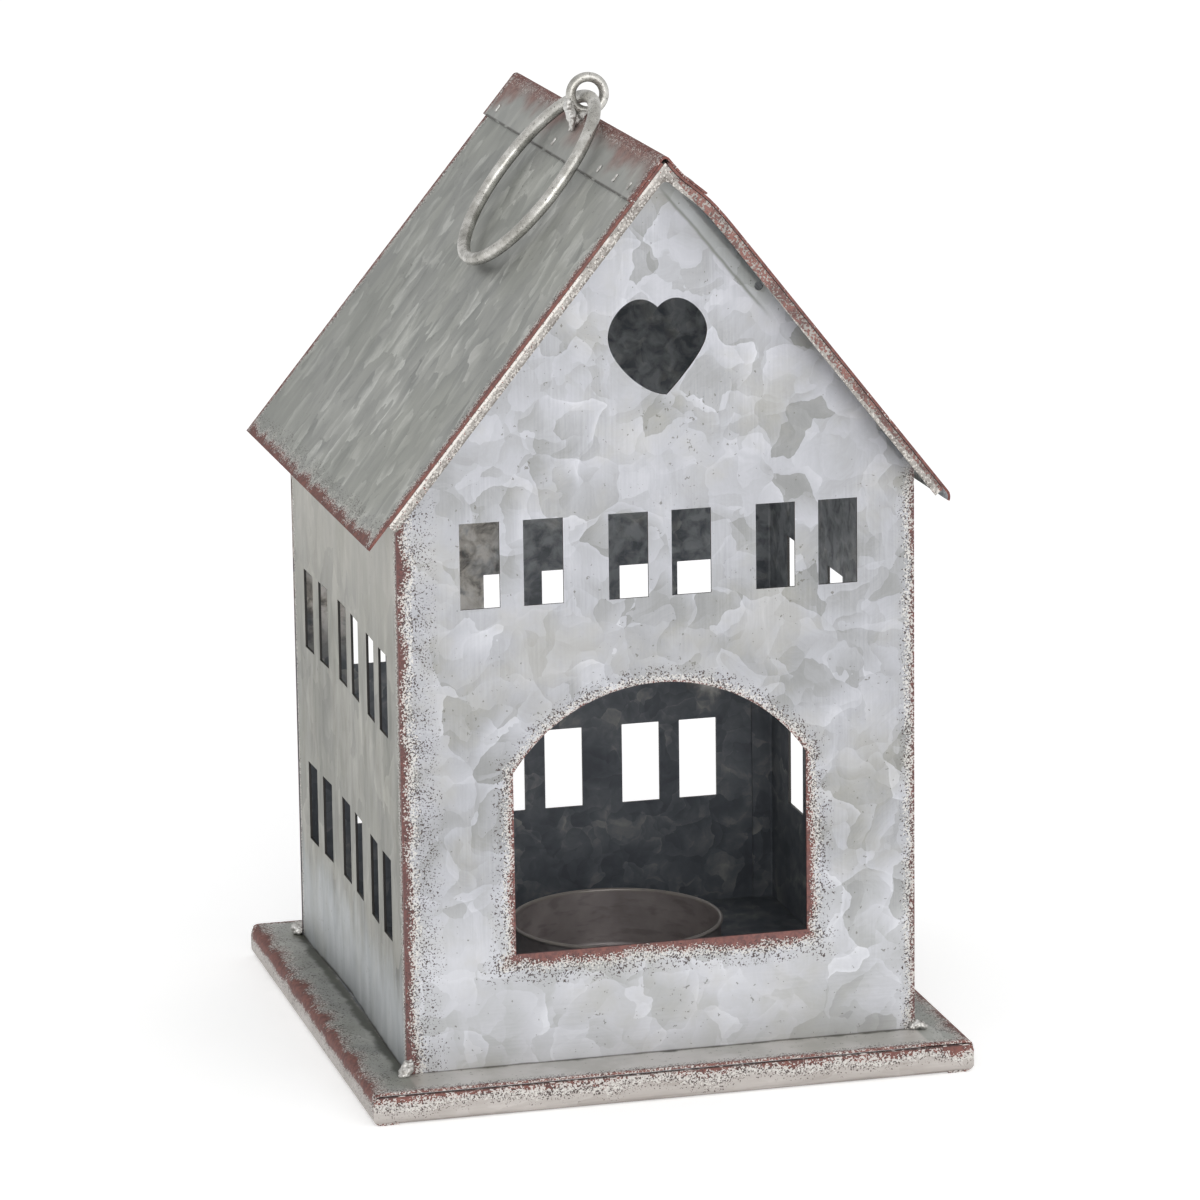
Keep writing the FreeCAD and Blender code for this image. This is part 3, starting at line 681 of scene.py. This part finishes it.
def deck_material(name):
    """Tray deck: darker round the foot of the walls, worn along its bent sides."""
    g = Graph(name)
    level = crystals(g, g.stretched(Y, 1.8), 10, 16)
    outer = g.colours(level * 0.8 + 0.16, DULL)
    off_wall = g.most(abs(g.x) - WALL_X, abs(g.y) - WALL_Y)
    at_side = (abs(g.x) - WALL_X).above(0, 0.5)
    outer = g.mix((1 - at_side) * 0.85, outer, tone(212, 208, 204))
    blotch = g.noise_value(g.place, 8, detail=4, rough=0.6, offset=2)
    # Darker round the foot of the walls, wider at the sides.
    dark_band = (off_wall + (blotch - 0.5) * 5).below(at_side * 1.6 + 0.2, 0.8)
    outer = g.mix(dark_band * 0.85, outer, tone(58, 60, 50))
    film = g.noise_value(g.place, 15, detail=4, rough=0.6, offset=37).above(0.53, 0.12)
    outer = g.mix(film * 0.3, outer, tone(126, 128, 112))
    low_side = (DECK_Z - g.z).above(2.4, 0.9)
    beige = g.noise_value(g.stretched(Y, 4), 5, detail=4, offset=6)
    outer = g.mix(low_side, outer, g.colours(beige, RIM))
    around = DECK_HALF - abs(g.x) + g.ramp(DECK_Z - g.z, 1.2, 5.0, 0.0, 6.0)
    shelf = wear(g, around, 3.0, 6.0, 110, soft=2.0, specks=0.75)
    edge = wear(g, DECK_HALF - abs(g.y), 0.9, 2.2, 115)
    outer = worn(g, worn(g, outer, shelf), edge)
    outer = nicks(g, outer, 55, 0.72)
    indoors = off_wall.below(-0.7, 0.3)
    outer = g.mix(indoors, outer, inside_colour(g, 7))
    brown = g.most(shelf[0], edge[0]) * (1 - indoors)
    return sheet_finish(g, outer, level, brown, 1 - indoors, roughness=0.46)


def rim_material(name):
    """End strips of the tray: beige-grey, speckled, with a worn brown top edge."""
    g = Graph(name)
    level = crystals(g, g.stretched(X, 2.5), 6, 20)
    outer = g.colours(level * 0.8 + 0.10, RIM)
    streak = g.noise_value(g.stretched(X, 16), 0.8, detail=3, offset=8)
    outer = g.mix(0.4, outer, g.colours(streak, [(0.3, tone(92, 90, 88)),
                                                 (0.7, tone(165, 163, 162))]), "SOFT_LIGHT")
    depth = RIM_TOP - g.z
    swell = g.noise_value(g.stretched(X, 2), 10, detail=2, offset=21)
    masks = wear(g, depth, g.ramp(swell, 0.35, 0.65, 1.0, 2.6), 3.4, 120, specks=1.15)
    outer = worn(g, outer, masks)
    # Painted shade: a dark strip along the top edge, under the deck's front edge, with painted
    # highlight dashes on it.
    lip = (depth - (streak - 0.5) * 0.5).below(0.28, 0.1)
    dashes = g.noise_value(g.stretched(X, 3), 0.6, detail=2, offset=27)
    outer = g.mix(lip * 0.8, outer, tone(48, 36, 34))
    outer = g.mix(lip * dashes.above(0.6, 0.03) * 0.7, outer, tone(216, 210, 204))
    foot = (g.z + (streak - 0.5) * 2).below(0.7, 0.5)
    outer = g.mix(foot * 0.5, outer, tone(110, 103, 96))
    return sheet_finish(g, outer, level, masks[0], 1.0, roughness=0.5, metallic=0.45)


def trim_material(name):
    """Gable edge strips: grey, a painted highlight on the upper edge, speckled, and brown on the
    right.
    """
    g = Graph(name)
    base = g.noise_value(g.place, 3, detail=3, offset=4)
    outer = g.colours(base, [(0.3, tone(126, 120, 115)), (0.7, tone(164, 160, 155))])
    fine = g.noise_value(g.place, 0.55, detail=2, rough=0.6, offset=14)
    broad = g.noise_value(g.place, 6, detail=2, offset=24)
    below = -(abs(g.x) * SIN + (g.z - RIDGE) * COS)
    right = g.x.above(1, 1)
    ragged = below + (fine - 0.5) * 0.8
    kept = (broad + g.z.below(188, 10) * 0.3).above(0.5, 0.1)
    # Painted highlight: a pale strip along the upper edge, on the left slope only.
    line = ragged.below(1.35, 0.15) * (1 - right) * kept
    foot = ragged.above(2.5, 0.15)
    outer = g.mix(foot * 0.6, outer, tone(92, 86, 80))
    pale = (fine + (broad - 0.5) * 0.2).above(0.55, 0.03)
    outer = g.mix(pale * 0.75, outer, tone(214, 210, 204))
    outer = g.mix(line * 0.8, outer, tone(222, 218, 212))
    upper = ragged.below(1.5, 0.3)
    rust = (broad - 0.5) * 0.3 + fine + right * (upper * 0.21 - 0.01) - 0.1
    rust = rust.above(0.56, 0.03)
    brown = g.mix(base.above(0.5, 0.1), BROWN_DEEP, BROWN)
    outer = g.mix(rust * 0.9, outer, brown)
    dark = g.noise_value(g.place, 0.45, detail=2, offset=34).above(0.63, 0.03)
    outer = g.mix(dark * 0.75, outer, SPECK_DARK)
    height = fine * 0.5 - rust * 0.3
    return g.finish(outer, 0.35 - rust * 0.25, 0.5 + rust * 0.15, g.bump(height, 0.00012, 0.7))


def wire_material(name):
    """Plated wire: blotched pewter, painted shade below, right and behind, and a few small pits.
    """
    g = Graph(name)
    patch = g.noise_value(g.place, 5, detail=5, rough=0.65, offset=6)
    colour = g.colours(patch, [(0.28, tone(142, 140, 134)), (0.44, tone(178, 176, 170)),
                               (0.56, tone(206, 204, 199)), (0.74, tone(236, 235, 231))])
    # Painted shade: darker on the sides turned below, right and behind.
    painted_lit_side = g.normal[Z] * 0.7 - g.normal[X] * 0.5 - g.normal[Y] * 0.5
    colour = g.mix(g.ramp(painted_lit_side, -0.75, 0.2, 0.75, 0.0), colour, tone(92, 88, 83))
    pit = g.noise_value(g.place, 0.8, detail=2, rough=0.6, offset=16)
    pits = pit.above(0.68, 0.03)
    colour = g.mix(pits * 0.7, colour, tone(76, 72, 68))
    grain = g.noise_value(g.place, 0.35, detail=2, offset=26)
    swell = g.noise_value(g.place, 3.5, detail=2, offset=36)
    height = grain * 0.35 - pits * 0.6 + swell * 1.5
    return g.finish(colour, 0.8, 0.29 + (grain - 0.5) * 0.2, g.bump(height, 0.00015, 0.7))


def cup_material(name):
    """Candle cup: dark burnished sheet, with a painted highlight in patches on the lip."""
    g = Graph(name)
    cloud = g.noise_value(g.place, 12, detail=4, offset=5)
    colour = g.colours(cloud, [(0.3, tone(134, 127, 126)), (0.7, tone(172, 164, 163))])
    ripple = g.noise_value(g.stretched(Z, 0.3), 6, detail=3, offset=15)
    colour = g.mix(ripple.above(0.58, 0.08) * 0.35, colour, tone(100, 94, 93))
    # Painted highlight: paler patches along the rolled lip.
    lip = g.z.above(CUP_TOP - 0.7, 0.2)
    lip_highlight_patches = g.noise_value(g.place, 3, detail=2, offset=25)
    colour = g.mix(lip * g.ramp(lip_highlight_patches, 0.3, 0.6, 0.3, 0.9), colour, tone(158, 151, 144))
    return g.finish(colour, 0.4, 0.42 - lip * 0.06, g.bump(ripple, 0.0002, 0.5))


def weld_material(name):
    """Bright bare weld metal with darker patches of scale."""
    g = Graph(name)
    cloud = g.noise_value(g.place, 1.3, detail=3, offset=5)
    colour = g.colours(cloud, [(0.3, tone(140, 137, 132)), (0.5, tone(198, 196, 192)),
                               (0.8, tone(236, 236, 234))])
    grain = g.noise_value(g.place, 0.4, detail=2, offset=15)
    return g.finish(colour, 0.7, 0.32 + (grain - 0.5) * 0.2, g.bump(grain, 0.0002, 0.6))


materials = {
    "front_wall": gable_material("galvanised_gable_front", -1, True),
    "back_wall": gable_material("galvanised_gable_back", 1, False),
    "left_wall": side_material("galvanised_side"),
    "roof_left_sheet": roof_material("galvanised_roof_left", -1),
    "roof_right_sheet": roof_material("galvanised_roof_right", 1),
    "ridge_cap": cap_material("galvanised_ridge"),
    "base_deck": deck_material("galvanised_deck"),
    "base_front_rim": rim_material("galvanised_rim"),
    "front_gable_trim": trim_material("speckled_trim"),
    "eyelet": wire_material("pewter_wire"),
    "candle_cup": cup_material("dark_cup"),
    "eyelet_weld": weld_material("weld_metal"),
}
for copy, source in (("right_wall", "left_wall"), ("base_back_rim", "base_front_rim"),
                     ("back_gable_trim", "front_gable_trim"), ("hang_ring", "eyelet"),
                     ("corner_weld_beads", "eyelet_weld"), ("roof_tack_welds", "eyelet_weld")):
    materials[copy] = materials[source]

for node, obj in frame["nodes"].items():
    obj.data.materials.clear()
    obj.data.materials.append(materials[node])


# ---------------------------------------------------------------- weld metal

def weld_piece(node, grain, lumps, drops=()):
    """A weld's CAD solids, with added drops, melted into lumpier shapes.

    grain is the finest detail and lumps how far the surface swells, in millimetres.
    """
    source = frame["nodes"][node]
    mesh = source.data.copy()
    mesh.transform(source.matrix_world)
    solids = bmesh.new()
    solids.from_mesh(mesh)
    for centre, radii in drops:
        stretch = Matrix.Diagonal(Vector(radii) * MM).to_4x4()
        bmesh.ops.create_icosphere(solids, subdivisions=3, radius=1.0,
                                   matrix=Matrix.Translation(Vector(centre) * MM) @ stretch)
    solids.to_mesh(mesh)
    solids.free()
    obj = bpy.data.objects.new(node + "_metal", mesh)
    bpy.context.scene.collection.objects.link(obj)
    remesh = obj.modifiers.new("even", "REMESH")
    remesh.mode = "VOXEL"
    remesh.voxel_size = grain * MM
    soften = obj.modifiers.new("soften", "SMOOTH")
    soften.factor = 0.5
    soften.iterations = 3
    evaluated = obj.evaluated_get(bpy.context.evaluated_depsgraph_get())
    lumpy = bpy.data.meshes.new_from_object(evaluated)
    obj.modifiers.clear()
    obj.data = lumpy
    for vertex in lumpy.vertices:
        lump = noise.fractal(vertex.co / MM * 0.8, 0.8, 2.0, 3)
        vertex.co += vertex.normal * lump * lumps * MM
    lumpy.polygons.foreach_set("use_smooth", [True] * len(lumpy.polygons))
    lumpy.materials.clear()
    lumpy.materials.append(materials[node])
    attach(obj, BODY)
    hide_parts(node)


# Centre and radii of the drops down the eyelet's left foot, from the top.
EYELET_DROPS = [
    ((-4.6, -0.6, 217.4), (1.3, 1.2, 2.0)),
    ((-4.2, -1.1, 215.2), (1.2, 1.0, 1.9)),
    ((-4.1, -1.5, 213.4), (0.8, 0.7, 1.7)),
]
weld_piece("eyelet_weld", grain=0.22, lumps=0.22, drops=EYELET_DROPS)
weld_piece("corner_weld_beads", grain=0.25, lumps=0.55)
weld_piece("roof_tack_welds", grain=0.12, lumps=0.15)


# ---------------------------------------------------------------- studio

CAMERA_AZIMUTH = math.radians(-14.321)
CAMERA_ELEVATION = math.radians(13.229)
CAMERA_ROLL = math.radians(-0.782)
CAMERA_TARGET = Vector((1.746, 1.5, 100.1)) * MM
CAMERA_DISTANCE = 1378.3 * MM
CAMERA_LENS = 176.34
CAMERA_SENSOR = 36


def camera():
    """Camera left of the front and a little above, aimed at its target and slightly rolled."""
    level = math.cos(CAMERA_ELEVATION)
    back = Vector((math.sin(CAMERA_AZIMUTH) * level, -math.cos(CAMERA_AZIMUTH) * level,
                   math.sin(CAMERA_ELEVATION)))
    right = (-back).cross(Vector((0, 0, 1))).normalized()
    up = back.cross(right)
    turned_right = right * math.cos(CAMERA_ROLL) + up * math.sin(CAMERA_ROLL)
    turned_up = up * math.cos(CAMERA_ROLL) - right * math.sin(CAMERA_ROLL)
    data = bpy.data.cameras.new("camera")
    data.lens = CAMERA_LENS
    data.sensor_width = CAMERA_SENSOR
    data.clip_start = 0.05
    data.clip_end = 50
    obj = bpy.data.objects.new("camera", data)
    bpy.context.scene.collection.objects.link(obj)
    matrix = Matrix((turned_right, turned_up, back)).transposed().to_4x4()
    matrix.translation = CAMERA_TARGET + back * CAMERA_DISTANCE
    obj.matrix_world = matrix
    bpy.context.scene.camera = obj


WALLS_MIDDLE = Vector((0, 0, 0.08))


def soft_light(name, place, size, power):
    """Round light of a size in metres and a power in watts, aimed at the walls' middle."""
    data = bpy.data.lights.new(name, "AREA")
    data.shape = "DISK"
    data.size = size
    data.energy = power
    obj = bpy.data.objects.new(name, data)
    bpy.context.scene.collection.objects.link(obj)
    obj.location = place
    aim = WALLS_MIDDLE - Vector(place)
    obj.rotation_euler = aim.to_track_quat("-Z", "Y").to_euler()


WORLD_STRENGTH = 0.84
WORLD_TOWARD_BACK = -0.12
WORLD_UPWARD = -0.10


def multiply_add(tree, value, factor, added):
    """Output of a Math node: value times factor plus added, where added may be an output."""
    node = tree.nodes.new("ShaderNodeMath")
    node.operation = "MULTIPLY_ADD"
    tree.links.new(value, node.inputs[0])
    node.inputs[1].default_value = factor
    if isinstance(added, bpy.types.NodeSocket):
        tree.links.new(added, node.inputs[2])
    else:
        node.inputs[2].default_value = added
    return node.outputs[0]


def surroundings():
    """World that looks white, and lights a little less from behind and above than in front."""
    world = bpy.data.worlds.new("studio")
    world.use_nodes = True
    tree = world.node_tree
    place = tree.nodes.new("ShaderNodeTexCoord")
    split = tree.nodes.new("ShaderNodeSeparateXYZ")
    tree.links.new(place.outputs["Generated"], split.inputs[0])
    strength = multiply_add(tree, split.outputs[Y], WORLD_TOWARD_BACK, WORLD_STRENGTH)
    strength = multiply_add(tree, split.outputs[Z], WORLD_UPWARD, strength)
    lighting = tree.nodes["Background"]
    tree.links.new(strength, lighting.inputs["Strength"])
    lighting.inputs["Color"].default_value = (1, 1, 1, 1)
    seen = tree.nodes.new("ShaderNodeBackground")
    seen.inputs["Color"].default_value = (1, 1, 1, 1)
    path = tree.nodes.new("ShaderNodeLightPath")
    choose = tree.nodes.new("ShaderNodeMixShader")
    tree.links.new(path.outputs["Is Camera Ray"], choose.inputs[0])
    tree.links.new(lighting.outputs[0], choose.inputs[1])
    tree.links.new(seen.outputs[0], choose.inputs[2])
    tree.links.new(choose.outputs[0], tree.nodes["World Output"].inputs[0])
    return world


def floor_material(name):
    """Nearly white, faintly mottled and softly glowing floor."""
    g = Graph(name)
    shade = g.noise_value(g.place, 120, detail=2)
    colour = g.colours(shade, [(0.3, tone(246, 246, 246)), (0.7, tone(250, 250, 250))])
    return g.finish(colour, 0.0, 0.8, glow=0.3)


def studio():
    """Pale floor, white surroundings and two soft lights in front."""
    scene = bpy.context.scene
    scene.view_settings.view_transform = "Standard"
    scene.world = surroundings()
    mesh = bpy.data.meshes.new("floor")
    half = 4.0
    mesh.from_pydata([(-half, -half, 0), (half, -half, 0), (half, half, 0), (-half, half, 0)],
                     [], [(0, 1, 2, 3)])
    mesh.materials.append(floor_material("pale_floor"))
    floor = bpy.data.objects.new("floor", mesh)
    scene.collection.objects.link(floor)
    soft_light("key", place=(0.2, -1.9, 0.9), size=2.4, power=13.5)
    soft_light("front", place=(-0.3, -1.9, 0.4), size=1.4, power=6)


camera()
studio()
